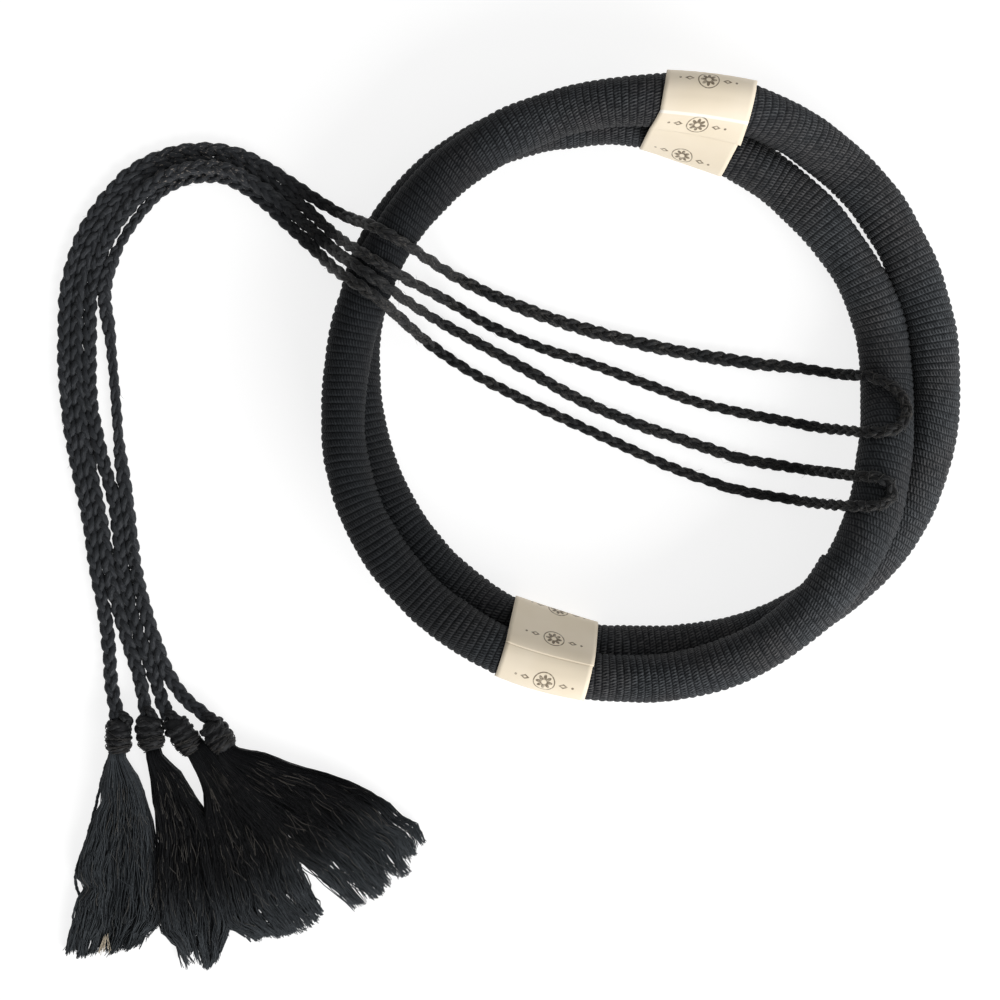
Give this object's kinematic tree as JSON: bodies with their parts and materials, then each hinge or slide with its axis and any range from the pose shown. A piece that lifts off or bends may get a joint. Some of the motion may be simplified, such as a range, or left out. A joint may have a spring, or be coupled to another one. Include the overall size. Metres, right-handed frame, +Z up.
{
  "type": "igal head cord",
  "caption": "Black knitted head cord laid in two turns with paper bands, and thin braided cords that end in knots and fringe tassels.",
  "frame": {"origin": "middle of the ring of the head cord, on the surface that it lies on", "axes": "+Z up from the surface, the shortest way through the ring; +Y towards the far side of the ring, +X towards the side where the thin cords are sewn on; the tassels lie at -X -Y"},
  "size_m": [0.3035, 0.2957, 0.0351],
  "materials": {
    "black_knit": "matt fine knit, black with a faint cool bloom",
    "black_braid": "satin round braid",
    "black_thread": "wound and knotted thread",
    "black_fringe": "loose twisted yarn, frayed ends",
    "cream_paper": "smooth coated paper, faint gloss"
  },
  "bodies": {
    "root": {"head_cord": "black_knit", "paper_band_1": "cream_paper", "paper_band_2": "cream_paper", "sewn_loop_1": "black_braid", "sewn_loop_2": "black_braid", "tassel_cord_1": "black_braid", "tassel_cord_2": "black_braid", "tassel_cord_3": "black_braid", "tassel_cord_4": "black_braid", "knot_1": "black_thread", "knot_2": "black_thread", "knot_3": "black_thread", "knot_4": "black_thread", "tassel_1": "black_fringe", "tassel_2": "black_fringe", "tassel_3": "black_fringe", "tassel_4": "black_fringe"}
  },
  "joints": []
}
